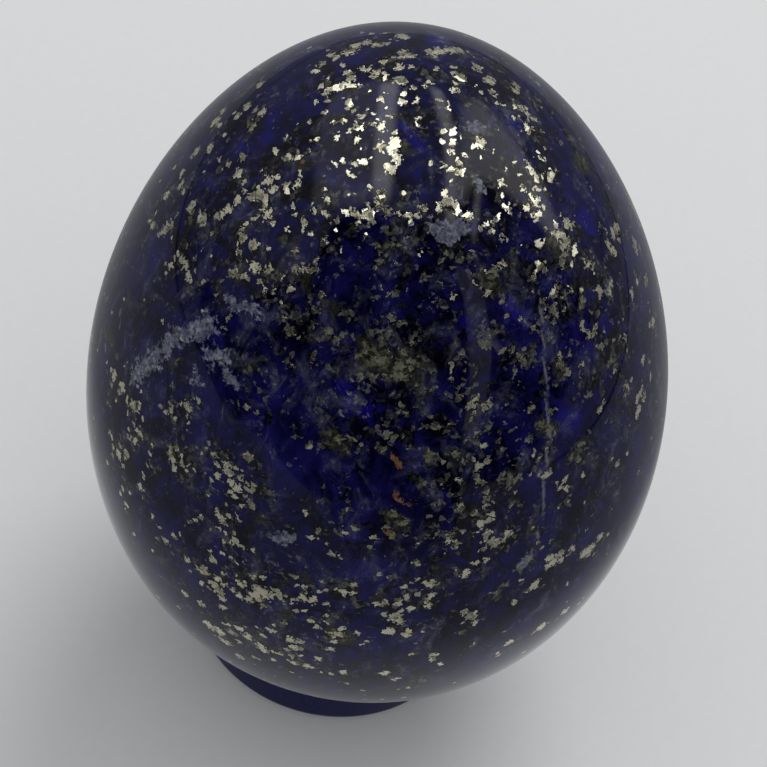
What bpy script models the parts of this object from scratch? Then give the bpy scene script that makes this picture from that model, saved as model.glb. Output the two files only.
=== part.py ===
"""Polished lapis lazuli egg resting in a low ring stand.

Metres, +Z up. The origin lies on the surface that the ring stands on, under the
middle of the whole object. The egg's narrow end is up, and the egg leans a few
degrees towards -X, the way a smooth egg settles in a round seat.
"""

import math

import bmesh
import bpy
import numpy as np

# The egg: a turned shape, fuller towards its lower end
EGG_HEIGHT = 0.0624
EGG_MID_WIDTH = 0.0480
EGG_TAPER = 0.118
EGG_FULLNESS = 0.015
EGG_LEAN = math.radians(4.3)

# The ring stand: a short tube with a rounded lip and a softened foot
RING_FOOT_RADIUS = 0.0130
RING_HEIGHT = 0.0056
RING_WALL = 0.0024
RING_DRAFT = 0.00035
RING_FOOT_ROUNDING = 0.0008

# Air between the stone and the lip that carries it
SEAT_GAP = 0.0003

# Facets
SEGMENTS = 64
EGG_BANDS = 32
LIP_STEPS = 8
FOOT_STEPS = 3

STONE_BLUE = (0.020, 0.018, 0.115, 1.0)
STONE_ROUGHNESS = 0.08
RING_NAVY = (0.010, 0.011, 0.060, 1.0)
RING_ROUGHNESS = 0.22

LIP_RADIUS = RING_WALL / 2
LIP_CENTRE_RADIUS = RING_FOOT_RADIUS - RING_DRAFT - LIP_RADIUS
LIP_CENTRE_HEIGHT = RING_HEIGHT - LIP_RADIUS


def clear_scene():
    """Remove every object that is in the scene."""
    for item in list(bpy.data.objects):
        bpy.data.objects.remove(item, do_unlink=True)


def egg_point(latitude):
    """Radius and height of the egg's outline, from its centre, at a latitude in radians."""
    rise = math.sin(latitude)
    swell = 1.0 - EGG_TAPER * rise + EGG_FULLNESS * rise * rise
    radius = EGG_MID_WIDTH / 2 * math.cos(latitude) * swell
    return radius, EGG_HEIGHT / 2 * rise


def egg_normal(latitude):
    """Outward normal of the outline, as its radial and its vertical part."""
    step = 1e-5
    before = egg_point(latitude - step)
    after = egg_point(latitude + step)
    across = after[0] - before[0]
    along = after[1] - before[1]
    length = math.hypot(across, along)
    return along / length, -across / length


def seat_latitude():
    """Latitude where the lip meets the egg with the seat gap between them."""
    low = math.radians(-85)
    high = math.radians(-30)
    reach = LIP_RADIUS + SEAT_GAP
    for _ in range(60):
        middle = (low + high) / 2
        radius = egg_point(middle)[0] + egg_normal(middle)[0] * reach
        if radius < LIP_CENTRE_RADIUS:
            low = middle
        else:
            high = middle
    return (low + high) / 2


def egg_centre_over_ring():
    """The egg's centre, from the middle of the ring's foot.

    Round the seat the egg is very nearly a ball, whose centre is the point where the
    outline's normals meet the egg's axis. That point stays over the middle of the ring
    however the egg leans.
    """
    latitude = seat_latitude()
    radius, height = egg_point(latitude)
    outward, upward = egg_normal(latitude)
    reach = LIP_RADIUS + SEAT_GAP
    ball_centre = height - radius * upward / outward
    lip_below = height + upward * reach - ball_centre
    ball_height = LIP_CENTRE_HEIGHT - lip_below
    sideways = ball_centre * math.sin(EGG_LEAN)
    upwards = ball_height - ball_centre * math.cos(EGG_LEAN)
    return sideways, upwards


def egg_reach(sign):
    """How far the leaning egg reaches from its centre along +X or -X."""
    best = 0.0
    for latitude in np.linspace(-math.pi / 2, math.pi / 2, 1801):
        radius, height = egg_point(latitude)
        across = radius * math.cos(EGG_LEAN) - sign * height * math.sin(EGG_LEAN)
        best = max(best, across)
    return best


def arc(centre_radius, centre_height, radius, start, end, steps):
    """Points of an arc in the outline's plane, angles in degrees from the outward side."""
    points = []
    for angle in np.radians(np.linspace(start, end, steps + 1)):
        points.append(
            (
                centre_radius + radius * math.cos(angle),
                centre_height + radius * math.sin(angle),
            )
        )
    return points


def egg_outline():
    """The egg's outline from its lower pole to its upper one."""
    latitudes = np.linspace(-math.pi / 2, math.pi / 2, EGG_BANDS + 1)
    points = [egg_point(latitude) for latitude in latitudes]
    points[0] = (0.0, points[0][1])
    points[-1] = (0.0, points[-1][1])
    return points


def ring_outline():
    """The ring's section, out along the foot, up the wall, over the lip and down inside."""
    foot_centre = RING_FOOT_RADIUS - RING_FOOT_ROUNDING
    foot = arc(foot_centre, RING_FOOT_ROUNDING, RING_FOOT_ROUNDING, -90, 0, FOOT_STEPS)
    lip = arc(LIP_CENTRE_RADIUS, LIP_CENTRE_HEIGHT, LIP_RADIUS, 0, 180, LIP_STEPS)
    inner_corner = (LIP_CENTRE_RADIUS - LIP_RADIUS, 0.0)
    return [inner_corner] + foot + lip


def turned_mesh(name, outline, closed):
    """Spin an outline of radii and heights round Z into a closed body."""
    shape = bmesh.new()
    corners = [shape.verts.new((radius, 0.0, height)) for radius, height in outline]
    edges = [shape.edges.new(pair) for pair in zip(corners, corners[1:])]
    if closed:
        edges.append(shape.edges.new((corners[-1], corners[0])))
    bmesh.ops.spin(
        shape,
        geom=corners + edges,
        cent=(0.0, 0.0, 0.0),
        axis=(0.0, 0.0, 1.0),
        angle=math.tau,
        steps=SEGMENTS,
        use_merge=True,
    )
    bmesh.ops.remove_doubles(shape, verts=shape.verts[:], dist=1e-6)
    bmesh.ops.recalc_face_normals(shape, faces=shape.faces[:])
    mesh = bpy.data.meshes.new(name)
    shape.to_mesh(mesh)
    shape.free()
    mesh.shade_smooth()
    mesh.set_sharp_from_angle(angle=math.radians(40))
    return mesh


def plain_material(name, colour, roughness):
    """A Principled material with one colour and one roughness."""
    material = bpy.data.materials.new(name)
    material.use_nodes = True
    surface = material.node_tree.nodes["Principled BSDF"]
    surface.inputs["Base Color"].default_value = colour
    surface.inputs["Roughness"].default_value = roughness
    surface.inputs["Metallic"].default_value = 0.0
    material.diffuse_color = colour
    return material


def add_piece(name, mesh, material, location, lean=0.0):
    """Place a mesh in the scene as a named piece."""
    mesh.materials.append(material)
    piece = bpy.data.objects.new(name, mesh)
    bpy.context.scene.collection.objects.link(piece)
    piece.location = location
    piece.rotation_euler = (0.0, lean, 0.0)
    return piece


def main():
    """Build the ring stand and the egg that rests in it."""
    clear_scene()
    sideways, upwards = egg_centre_over_ring()
    egg_x = (egg_reach(-1) - egg_reach(1)) / 2
    ring_x = egg_x - sideways

    ring_finish = plain_material("ring_navy", RING_NAVY, RING_ROUGHNESS)
    ring_mesh = turned_mesh("ring_stand", ring_outline(), closed=True)
    add_piece("ring_stand", ring_mesh, ring_finish, (ring_x, 0.0, 0.0))

    stone_finish = plain_material("lapis_blue", STONE_BLUE, STONE_ROUGHNESS)
    egg_mesh = turned_mesh("lapis_egg", egg_outline(), closed=False)
    add_piece("lapis_egg", egg_mesh, stone_finish, (egg_x, 0.0, upwards), lean=-EGG_LEAN)


main()
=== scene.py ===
"""Polished lapis lazuli egg in its ring stand: the finish of both pieces.

The stone and the ring are turned again at full fineness over the solids of the frame.
The stone's minerals are laid on by marks that were read off the photograph: each
pixel is cast through the camera onto the egg. The sides that it doesn't show get marks of
the same kind from a seeded draw.
"""

import math
import random

import bpy
import numpy as np
from mathutils import Matrix, Vector
from mathutils.kdtree import KDTree


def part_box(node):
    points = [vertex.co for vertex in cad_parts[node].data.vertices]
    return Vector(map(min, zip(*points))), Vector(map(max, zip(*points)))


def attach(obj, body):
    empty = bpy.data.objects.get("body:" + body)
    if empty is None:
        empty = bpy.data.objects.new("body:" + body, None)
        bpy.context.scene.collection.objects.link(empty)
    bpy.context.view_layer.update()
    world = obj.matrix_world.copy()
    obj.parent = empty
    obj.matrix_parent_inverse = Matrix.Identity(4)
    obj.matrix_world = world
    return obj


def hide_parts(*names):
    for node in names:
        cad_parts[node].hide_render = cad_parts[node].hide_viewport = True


bl_info = {
    "name": "Lapis Egg",
    "version": (1, 0, 0),
    "blender": (4, 5, 0),
    "location": "View3D > Sidebar > Lapis",
    "description": "Builds a polished lapis lazuli egg in a ring stand, with its stage",
    "category": "Add Mesh",
}

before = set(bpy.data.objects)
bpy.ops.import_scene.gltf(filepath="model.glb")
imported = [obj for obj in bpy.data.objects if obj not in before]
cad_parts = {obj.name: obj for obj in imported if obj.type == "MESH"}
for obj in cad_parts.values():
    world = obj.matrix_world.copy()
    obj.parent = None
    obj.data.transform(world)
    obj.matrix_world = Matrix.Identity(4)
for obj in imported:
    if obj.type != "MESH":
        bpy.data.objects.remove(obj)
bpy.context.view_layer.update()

PHOTO_SIDE = 767
SENSOR = 0.036
GRAIN_LAYERS = 4         # grains that each face of the egg knows of
OTHER_KIND = 9.0         # millimetres that put a grain of the wrong kind out of reach
DRAW_SEED = 46
HIDDEN_SIZES = (0.16, 0.2, 0.24, 0.3, 0.36, 0.45)    # radii in millimetres of the hidden grains
HIDDEN_DULL = 0.24       # share of the hidden clusters that are dull
CROWD_REACH = 0.0018     # metres over which fine specks thicken round a grain

# Bright pyrite in the photograph: x, y and radius in its pixels, by the place it lies in
PYRITE = {
    "crown": (
        (349, 52, 5), (355, 47, 4), (366, 43, 4), (379, 45, 4), (386, 44, 3), (402, 36, 4),
        (404, 53, 4), (412, 55, 4), (432, 52, 5), (440, 51, 5), (450, 50, 5), (459, 51, 4),
        (436, 69, 3), (316, 71, 3), (321, 64, 3), (331, 55, 3), (336, 57, 3), (343, 65, 3),
        (348, 72, 3), (362, 69, 3), (368, 69, 3), (376, 71, 4), (373, 76, 3), (382, 62, 3),
        (399, 66, 4), (411, 67, 3), (399, 80, 5), (405, 82, 3), (386, 78, 3), (322, 86, 3),
        (331, 89, 4), (337, 88, 4), (342, 86, 4), (349, 86, 4), (349, 79, 4), (326, 93, 4),
        (359, 85, 3), (316, 102, 3), (327, 101, 3), (350, 102, 3), (347, 108, 2), (352, 111, 3),
        (413, 88, 3), (424, 85, 3), (433, 83, 2), (403, 102, 4), (416, 99, 3), (454, 90, 4),
        (459, 76, 5), (490, 80, 5), (477, 67, 4), (476, 86, 2), (481, 92, 2), (492, 91, 3),
        (497, 96, 2), (502, 104, 2), (515, 91, 3), (516, 85, 3), (515, 106, 3), (522, 109, 3),
        (528, 115, 3), (534, 118, 3),
    ),
    "first_strip": (
        (372, 90, 2), (383, 93, 2), (390, 93, 2), (380, 99, 3), (386, 108, 2), (390, 118, 3),
        (372, 125, 3), (381, 128, 5), (393, 132, 3), (375, 134, 2), (381, 146, 5), (395, 143, 6),
        (393, 150, 6), (399, 160, 5), (395, 157, 5), (388, 167, 5), (393, 168, 4), (369, 188, 2),
        (381, 195, 6), (380, 207, 7), (386, 212, 6), (368, 215, 6), (373, 220, 4), (360, 216, 5),
        (353, 214, 5), (346, 213, 4), (358, 224, 3),
    ),
    "second_strip": (
        (439, 101, 3), (447, 103, 2), (450, 109, 3), (453, 131, 4), (454, 142, 4), (451, 153, 3),
        (464, 155, 3), (458, 162, 4), (443, 166, 3), (451, 171, 4), (460, 172, 4), (450, 182, 2),
        (445, 193, 4), (448, 204, 7), (455, 206, 5), (440, 209, 5), (457, 212, 3), (426, 210, 5),
        (430, 162, 3), (417, 117, 3), (469, 215, 5),
    ),
    "upper_right": (
        (480, 143, 6), (474, 146, 4), (483, 159, 2), (494, 152, 2), (502, 183, 4), (506, 168, 2),
        (516, 164, 3), (520, 173, 2), (522, 190, 4), (529, 166, 3), (533, 172, 3), (537, 178, 4),
        (535, 189, 2), (551, 175, 5), (550, 180, 3), (527, 207, 4), (535, 204, 5), (538, 200, 3),
        (516, 206, 2), (509, 208, 4), (504, 207, 3), (540, 214, 3), (534, 215, 3), (498, 216, 4),
        (494, 221, 4), (485, 224, 4), (481, 227, 3), (491, 231, 3), (502, 237, 4), (497, 244, 2),
        (556, 224, 3), (567, 222, 5), (573, 227, 3), (561, 215, 2), (546, 229, 3), (558, 236, 5),
        (545, 148, 2), (541, 160, 2), (543, 175, 2), (545, 190, 2), (529, 129, 5),
    ),
    "upper_left": (
        (325, 112, 3), (310, 121, 2), (334, 121, 3), (338, 121, 2), (344, 121, 3), (358, 127, 5),
        (349, 131, 3), (358, 139, 3), (336, 137, 3), (317, 139, 3), (311, 141, 2), (361, 116, 3),
        (286, 158, 4), (292, 159, 3), (298, 157, 4), (298, 152, 2), (335, 162, 3), (343, 161, 3),
        (356, 163, 3), (363, 161, 5), (371, 158, 2), (347, 172, 3), (352, 175, 3), (278, 176, 3),
        (299, 174, 3), (298, 185, 4), (286, 186, 4), (274, 189, 4), (266, 181, 3), (325, 201, 3),
        (293, 205, 3), (260, 84, 3), (215, 122, 4), (222, 112, 3), (247, 106, 4), (262, 112, 4),
        (256, 109, 3), (238, 116, 3), (252, 127, 5), (210, 148, 3), (196, 152, 4), (220, 158, 3),
        (242, 157, 4), (229, 163, 3), (239, 174, 5), (243, 182, 3), (182, 173, 3), (182, 183, 3),
        (167, 195, 3), (183, 192, 2), (193, 203, 3), (270, 181, 4), (279, 176, 3), (276, 150, 3),
        (259, 194, 5), (252, 197, 5), (238, 201, 4), (265, 199, 4), (244, 191, 3), (228, 209, 4),
    ),
    "left_band": (
        (165, 229, 5), (171, 225, 3), (173, 238, 2), (160, 233, 3), (153, 225, 3), (150, 221, 2),
        (177, 214, 2), (190, 210, 4), (194, 203, 3), (202, 217, 6), (203, 225, 2), (217, 216, 4),
        (222, 213, 4), (229, 209, 4), (241, 228, 3), (246, 224, 3), (243, 237, 4), (238, 244, 2),
        (239, 252, 3), (254, 246, 5), (256, 217, 3), (183, 259, 4), (186, 265, 4), (188, 275, 4),
        (190, 281, 3), (175, 259, 2), (170, 267, 3), (166, 273, 2), (237, 273, 5), (232, 273, 4),
        (245, 277, 4), (253, 265, 4), (227, 318, 3), (224, 327, 2), (215, 294, 2), (187, 247, 2),
        (163, 322, 2), (111, 370, 2), (114, 374, 3),
    ),
    "upper_middle": (
        (263, 207, 4), (268, 214, 5), (274, 223, 3), (293, 205, 3), (295, 214, 3), (303, 222, 4),
        (287, 230, 3), (303, 230, 2), (312, 233, 3), (314, 211, 3), (325, 202, 3), (326, 214, 4),
        (329, 222, 2), (338, 219, 3), (336, 230, 3), (324, 239, 3), (316, 259, 3), (315, 265, 2),
        (269, 248, 2), (253, 245, 4), (295, 251, 3), (303, 269, 4), (311, 268, 4), (296, 269, 3),
        (257, 267, 5), (269, 269, 4), (281, 277, 4), (260, 273, 2), (260, 283, 3), (264, 291, 3),
        (273, 290, 2), (289, 290, 4), (282, 302, 2), (313, 310, 3), (319, 311, 3), (284, 318, 3),
        (296, 315, 2), (290, 330, 5), (289, 334, 4), (299, 338, 3), (304, 333, 2), (311, 326, 2),
        (287, 361, 3), (292, 366, 3), (309, 365, 2), (313, 359, 3), (316, 364, 2), (399, 215, 4),
        (410, 217, 4), (416, 215, 4),
    ),
    "right_knot": (
        (555, 235, 4), (562, 236, 4), (568, 239, 4), (563, 246, 4), (539, 244, 5), (569, 244, 2),
        (575, 251, 4), (563, 256, 5), (562, 262, 4), (572, 264, 3), (562, 269, 2), (538, 262, 3),
        (539, 266, 4), (543, 262, 2), (535, 272, 3), (534, 278, 3), (546, 272, 3), (532, 290, 2),
        (584, 260, 3), (588, 264, 4), (593, 266, 3), (594, 274, 2), (557, 286, 4), (555, 291, 4),
        (552, 296, 4), (568, 287, 2), (571, 291, 3), (544, 299, 2), (562, 298, 2), (564, 310, 2),
        (553, 309, 5), (555, 315, 4), (548, 315, 3), (553, 323, 3), (581, 291, 3), (597, 289, 3),
        (600, 293, 4), (611, 283, 3), (609, 289, 3), (581, 323, 3), (584, 329, 3), (588, 334, 4),
        (594, 333, 4), (596, 328, 3), (601, 346, 3), (597, 345, 2), (613, 341, 2), (625, 338, 3),
        (620, 337, 2), (612, 230, 3), (617, 227, 3), (619, 240, 2), (609, 245, 3), (613, 250, 4),
        (635, 246, 4), (634, 241, 2), (646, 280, 3), (632, 293, 3), (653, 322, 3), (650, 326, 2),
        (615, 229, 4), (614, 236, 3),
    ),
    "right_flank": (
        (502, 352, 3), (511, 350, 3), (570, 354, 3), (559, 364, 4), (560, 357, 3), (567, 372, 3),
        (582, 364, 3), (507, 316, 3), (521, 318, 2), (453, 297, 3), (503, 263, 4), (498, 267, 4),
        (487, 271, 3), (474, 280, 3), (477, 285, 3), (487, 294, 3), (451, 364, 4), (451, 371, 2),
        (452, 379, 3), (643, 359, 3), (651, 376, 2), (627, 389, 4), (625, 386, 2), (641, 391, 3),
        (638, 396, 3), (644, 397, 3), (638, 410, 3), (637, 416, 2), (617, 463, 3), (600, 408, 3),
        (583, 475, 3), (564, 481, 3), (567, 478, 3), (565, 489, 3), (568, 490, 2), (559, 488, 3),
        (556, 484, 2), (550, 471, 3), (545, 475, 3), (535, 450, 2), (533, 454, 2), (532, 407, 3),
        (531, 411, 2), (552, 411, 3), (550, 441, 2), (482, 445, 3), (487, 461, 3), (482, 465, 3),
    ),
    "centre": (
        (476, 398, 4), (470, 404, 4), (471, 408, 3), (476, 407, 3), (490, 402, 4), (485, 407, 4),
        (491, 405, 3), (475, 415, 3), (471, 419, 3), (478, 434, 3), (477, 437, 3), (483, 446, 3),
        (464, 462, 4), (487, 460, 3), (479, 466, 4), (478, 481, 4), (483, 483, 3), (459, 480, 3),
        (441, 485, 2), (411, 446, 3), (349, 502, 3), (492, 513, 4), (489, 521, 4), (481, 524, 4),
        (486, 506, 3), (495, 516, 2), (494, 502, 2), (461, 506, 2), (354, 527, 4), (345, 533, 3),
        (375, 536, 3), (452, 366, 3), (452, 378, 3),
    ),
    "low_middle": (
        (452, 534, 4), (449, 540, 4), (456, 544, 4), (454, 547, 3), (457, 529, 2), (463, 532, 3),
        (472, 533, 2), (487, 534, 4), (484, 539, 3), (490, 543, 4), (493, 543, 5), (499, 544, 3),
        (506, 532, 4), (508, 536, 3), (504, 540, 3), (483, 550, 3), (416, 563, 4), (476, 563, 3),
        (472, 562, 2), (485, 561, 3), (464, 574, 4), (352, 585, 3), (344, 590, 3), (347, 592, 2),
        (344, 594, 3), (353, 593, 3), (411, 583, 2), (418, 580, 3), (405, 588, 3), (426, 583, 3),
        (432, 580, 3), (431, 585, 4), (436, 584, 3), (431, 595, 4), (425, 601, 3), (431, 603, 2),
        (428, 606, 3), (407, 597, 3), (399, 602, 4), (386, 602, 3), (378, 605, 3), (401, 611, 3),
        (394, 615, 3), (400, 616, 4), (400, 621, 4), (391, 618, 3), (384, 614, 3), (389, 631, 4),
        (409, 631, 3), (405, 635, 4), (343, 629, 3), (338, 634, 4), (357, 633, 3), (363, 645, 2),
        (464, 613, 4), (471, 616, 4), (475, 613, 2), (475, 622, 3), (433, 655, 3), (437, 655, 2),
        (433, 659, 3), (385, 673, 3), (343, 673, 2), (395, 680, 2),
    ),
    "low_right": (
        (550, 558, 4), (553, 562, 4), (548, 566, 3), (559, 555, 3), (561, 560, 3), (572, 549, 3),
        (569, 553, 2), (589, 550, 5), (585, 552, 4), (593, 547, 3), (600, 537, 3), (608, 534, 2),
        (535, 585, 4), (537, 582, 3), (532, 587, 3), (515, 602, 3), (541, 627, 4), (534, 632, 2),
        (565, 611, 3), (509, 643, 3), (499, 655, 2), (533, 528, 2),
    ),
    "left_flank": (
        (114, 376, 3), (122, 387, 4), (119, 393, 2), (116, 400, 2), (112, 385, 2), (127, 398, 2),
        (133, 405, 4), (139, 406, 3), (137, 411, 2), (127, 412, 2), (143, 419, 2), (134, 423, 2),
        (129, 429, 2), (137, 430, 2), (141, 435, 3), (135, 441, 3), (129, 439, 2), (109, 433, 2),
        (112, 438, 2), (120, 446, 2), (113, 448, 2), (113, 457, 2), (119, 455, 3), (126, 453, 3),
        (126, 459, 2), (123, 466, 2), (107, 462, 2), (171, 408, 3), (180, 404, 2), (187, 406, 4),
        (189, 410, 3), (187, 416, 2), (188, 421, 2), (167, 412, 3), (238, 403, 2), (249, 408, 4),
        (257, 412, 2), (177, 449, 3), (171, 456, 4), (174, 461, 3), (182, 456, 2), (182, 463, 3),
        (175, 469, 3), (186, 469, 2), (189, 465, 2), (194, 469, 2), (152, 446, 2), (150, 454, 2),
        (147, 466, 2), (144, 474, 2), (144, 478, 2), (141, 487, 3), (215, 455, 3), (216, 465, 3),
        (218, 476, 4), (227, 468, 6), (230, 473, 4), (236, 466, 3), (242, 471, 2), (241, 478, 3),
        (238, 488, 4), (232, 484, 3), (231, 492, 3), (235, 497, 3), (240, 505, 3), (248, 457, 5),
        (246, 484, 2), (250, 489, 4), (254, 484, 3), (249, 502, 3), (253, 507, 3), (238, 516, 2),
        (241, 520, 2), (120, 493, 2), (126, 504, 2), (152, 516, 2), (134, 535, 2),
    ),
    "low_left": (
        (217, 511, 3), (217, 516, 3), (222, 518, 3), (223, 523, 4), (200, 518, 3), (210, 528, 2),
        (220, 530, 2), (226, 534, 2), (234, 541, 4), (239, 545, 3), (244, 547, 2), (252, 549, 3),
        (234, 532, 2), (185, 556, 2), (188, 560, 3), (211, 552, 2), (214, 560, 4), (237, 563, 2),
        (175, 536, 3), (166, 541, 3), (160, 528, 2), (203, 568, 3), (203, 572, 4), (202, 583, 3),
        (218, 579, 4), (215, 585, 4), (219, 591, 4), (210, 588, 2), (224, 585, 3), (227, 584, 2),
        (222, 599, 3), (238, 580, 2), (241, 585, 3), (234, 591, 3), (239, 595, 4), (250, 575, 2),
        (263, 577, 3), (260, 592, 7), (255, 596, 5), (249, 600, 4), (262, 606, 3), (271, 596, 4),
        (277, 592, 4), (271, 588, 2), (280, 597, 3), (286, 596, 2), (223, 607, 3), (202, 604, 3),
        (185, 594, 3), (291, 575, 2), (295, 577, 3), (297, 585, 2), (303, 587, 3), (305, 592, 2),
        (304, 598, 4), (312, 601, 4), (316, 598, 2), (319, 591, 2), (295, 600, 3), (292, 604, 2),
        (296, 611, 3), (304, 611, 2), (326, 603, 3), (326, 616, 3), (327, 622, 2), (311, 621, 3),
        (317, 627, 3), (327, 632, 2), (339, 634, 4), (343, 629, 2), (335, 642, 3), (330, 649, 3),
        (304, 511, 2), (306, 515, 2), (318, 530, 3), (311, 538, 3), (318, 537, 2), (330, 550, 2),
        (332, 556, 2), (338, 556, 3), (327, 544, 2), (344, 533, 3), (343, 591, 3), (209, 625, 4),
        (219, 631, 4), (231, 632, 3), (225, 641, 4), (238, 642, 2), (240, 629, 3), (245, 626, 2),
        (248, 637, 4), (261, 647, 4), (266, 652, 3), (272, 651, 2), (280, 654, 2), (240, 657, 3),
        (255, 658, 2), (268, 629, 2), (273, 631, 3), (274, 625, 2), (284, 623, 2), (291, 640, 4),
        (300, 642, 3), (296, 648, 4), (286, 649, 3), (291, 656, 3), (299, 655, 2), (288, 660, 2),
        (295, 663, 3), (308, 666, 4), (319, 659, 3), (333, 674, 2), (343, 672, 2),
    ),
}

# Dull grey and olive grains, which don't shine: x, y and radius in pixels
DULL_GRAINS = {
    "centre": (
        (342, 240, 3), (330, 249, 3), (379, 253, 3), (381, 262, 4), (376, 244, 3), (390, 246, 4),
        (399, 245, 3), (395, 294, 4), (392, 318, 5), (400, 324, 4), (390, 333, 4), (381, 330, 3),
        (410, 342, 4), (404, 354, 4), (366, 347, 5), (360, 356, 4), (382, 361, 5), (375, 358, 4),
        (399, 366, 6), (411, 361, 4), (397, 376, 6), (361, 377, 4), (423, 278, 3), (421, 306, 2),
        (419, 340, 2), (349, 319, 3), (353, 338, 3), (335, 340, 4), (330, 332, 4), (342, 335, 4),
        (361, 378, 4), (375, 377, 4), (386, 379, 4), (395, 373, 5), (405, 376, 5), (409, 366, 4),
        (393, 393, 3), (418, 385, 3), (423, 387, 2), (416, 393, 2), (434, 385, 3), (433, 370, 3),
        (352, 393, 3), (358, 400, 3), (340, 413, 3), (348, 411, 2), (358, 412, 3), (367, 416, 2),
        (401, 405, 3), (399, 412, 4), (407, 414, 3), (399, 420, 2), (431, 417, 3), (437, 425, 4),
        (347, 451, 3), (351, 438, 4), (340, 440, 4), (360, 445, 2), (386, 434, 4), (394, 438, 4),
        (384, 451, 3), (403, 436, 2), (428, 460, 5), (430, 452, 4), (438, 503, 3), (501, 479, 4),
        (508, 484, 2), (456, 456, 4), (490, 424, 3), (488, 429, 4), (477, 475, 4), (459, 509, 4),
        (487, 499, 4), (394, 514, 4), (403, 522, 5), (387, 526, 4), (392, 536, 4), (429, 516, 3),
    ),
    "right": (
        (443, 259, 3), (460, 259, 3), (453, 267, 3), (446, 252, 3), (451, 256, 3), (431, 275, 3),
        (425, 278, 4), (444, 306, 3), (491, 277, 3), (496, 275, 3), (493, 270, 3), (582, 299, 4),
        (581, 307, 3), (524, 348, 3), (520, 356, 4), (524, 362, 4), (487, 345, 4), (489, 337, 3),
        (482, 344, 4), (550, 337, 3), (553, 342, 2), (514, 372, 3), (519, 381, 2), (465, 370, 2),
        (590, 311, 2), (612, 360, 3), (609, 365, 3), (590, 394, 4), (543, 424, 5), (548, 428, 5),
        (530, 438, 4), (552, 430, 3), (554, 434, 2), (524, 454, 2), (501, 478, 4), (509, 478, 4),
        (514, 480, 3), (508, 484, 2), (519, 477, 3), (580, 445, 4), (571, 458, 4), (578, 460, 3),
        (570, 496, 2), (527, 561, 4), (520, 569, 3), (460, 633, 3), (422, 680, 3), (505, 585, 4),
        (496, 594, 4), (487, 500, 3),
    ),
}

# Strokes of the other minerals: half the width in pixels, then the pixels it runs through
CALCITE = {
    "main_vein": (
        6.5, ((134, 376), (149, 364), (160, 355), (168, 343), (180, 334), (199, 332), (211, 326)),
    ),
    "left_crumbs": (4, ((229, 298), (237, 307), (251, 302), (254, 309), (259, 318))),
    "ring_blotch": (6.5, ((209, 357), (221, 357))),
    "left_specks": (5, ((195, 378), (198, 380))),
    "left_low": (5, ((228, 376), (236, 384))),
    "low_left": (5, ((277, 539), (292, 536))),
    "upper_cloud": (4.5, ((472, 127), (481, 128))),
    "strip_cloud": (3.5, ((477, 180), (482, 190))),
    "right_cloud": (9, ((438, 228), (450, 233), (460, 225))),
    "right_smear": (4, ((440, 240), (458, 236))),
    "flank_grain": (3, ((612, 280), (607, 290))),
    "low_right": (4, ((519, 566), (529, 558))),
}
OLIVE = {
    "crown": (5, ((345, 90), (352, 90))),
    "strip": (5, ((403, 145), (407, 150))),
    "upper_right": (6, ((578, 160), (583, 166))),
    "upper_left": (6, ((301, 165), (309, 165))),
    "right": (11, ((486, 280), (495, 288))),
    "right_tall": (4, ((582, 292), (582, 310))),
    "right_knot": (7, ((550, 240), (566, 262))),
    "middle": (6, ((306, 278), (306, 286))),
    "centre": (14, ((366, 352), (392, 368), (412, 362))),
    "centre_low": (9, ((400, 372), (412, 380))),
    "centre_left": (10, ((330, 438), (342, 446))),
    "small_left": (7, ((334, 306), (340, 309))),
    "small_top": (5, ((349, 231), (353, 232))),
    "low_centre": (9, ((390, 515), (402, 524))),
    "low_right": (9, ((540, 424), (550, 428))),
    "vertical": (3, ((541, 153), (546, 196))),
    "flank": (7, ((574, 452), (582, 444))),
    "low_a": (6, ((305, 577), (309, 581))),
    "low_b": (6, ((259, 519), (263, 519))),
    "low_c": (5, ((287, 616), (291, 616))),
    "left": (5, ((250, 368), (254, 368))),
    "rust_side": (6, ((428, 456), (432, 464))),
    "bottom": (8, ((336, 632), (348, 640))),
    "glow": (7, ((560, 364), (560, 370))),
    "left_pit": (6, ((107, 330), (111, 344))),
}
RUST = {
    "upper": (3.2, ((394, 457), (397, 464))),
    "upper_right": (2.4, ((431, 467), (438, 466))),
    "lower": (3, ((396, 494), (398, 499))),
    "lower_run": (2.0, ((401, 505), (410, 505), (418, 506))),
    "bottom": (3.2, ((388, 530), (394, 536))),
}
ULTRAMARINE = {
    "strip": (9, ((405, 125), (420, 145))),
    "upper": (8, ((510, 118), (518, 124))),
    "right": (10, ((583, 216), (592, 232))),
    "upper_left": (9, ((272, 118), (268, 135))),
    "left": (7, ((245, 145), (246, 150))),
    "crown": (7, ((436, 38), (437, 44))),
    "centre": (12, ((350, 404), (372, 414))),
    "centre_up": (12, ((505, 300), (520, 320))),
    "centre_left": (10, ((340, 378), (352, 400))),
    "right_low": (10, ((560, 415), (575, 420))),
    "right_band": (14, ((598, 310), (604, 335))),
    "cloud": (8, ((462, 320), (466, 335))),
}
CRACKS = {
    "right_line": (2.6, ((540, 300), (545, 380), (550, 430), (545, 470), (540, 530), (527, 565))),
    "pit_left": (1.5, ((105, 338), (106, 355))),
    "pit_right": (1.5, ((120, 310), (120, 326))),
}

# Each mineral's strokes, then its hidden ones: how many, half width in millimetres and most steps;
# last, how soft its edge is before the material tears it
MINERALS = {
    "calcite": (CALCITE, 26, 0.35, 5, 0.95),
    "olive": (OLIVE, 42, 0.50, 3, 0.95),
    "rust": (RUST, 7, 0.28, 2, 0.60),
    "ultramarine": (ULTRAMARINE, 34, 0.80, 4, 0.95),
    "crack": (CRACKS, 4, 0.08, 9, 0.95),
}

# The sheet's edges as the stone mirrors them, and the sides of the dark gap round it, in millimetres
SHEET_X = (-250.0, 178.0)
SHEET_Y = (-203.0, 1900.0)
GAP_X = (-266.0, 187.0)

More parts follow.
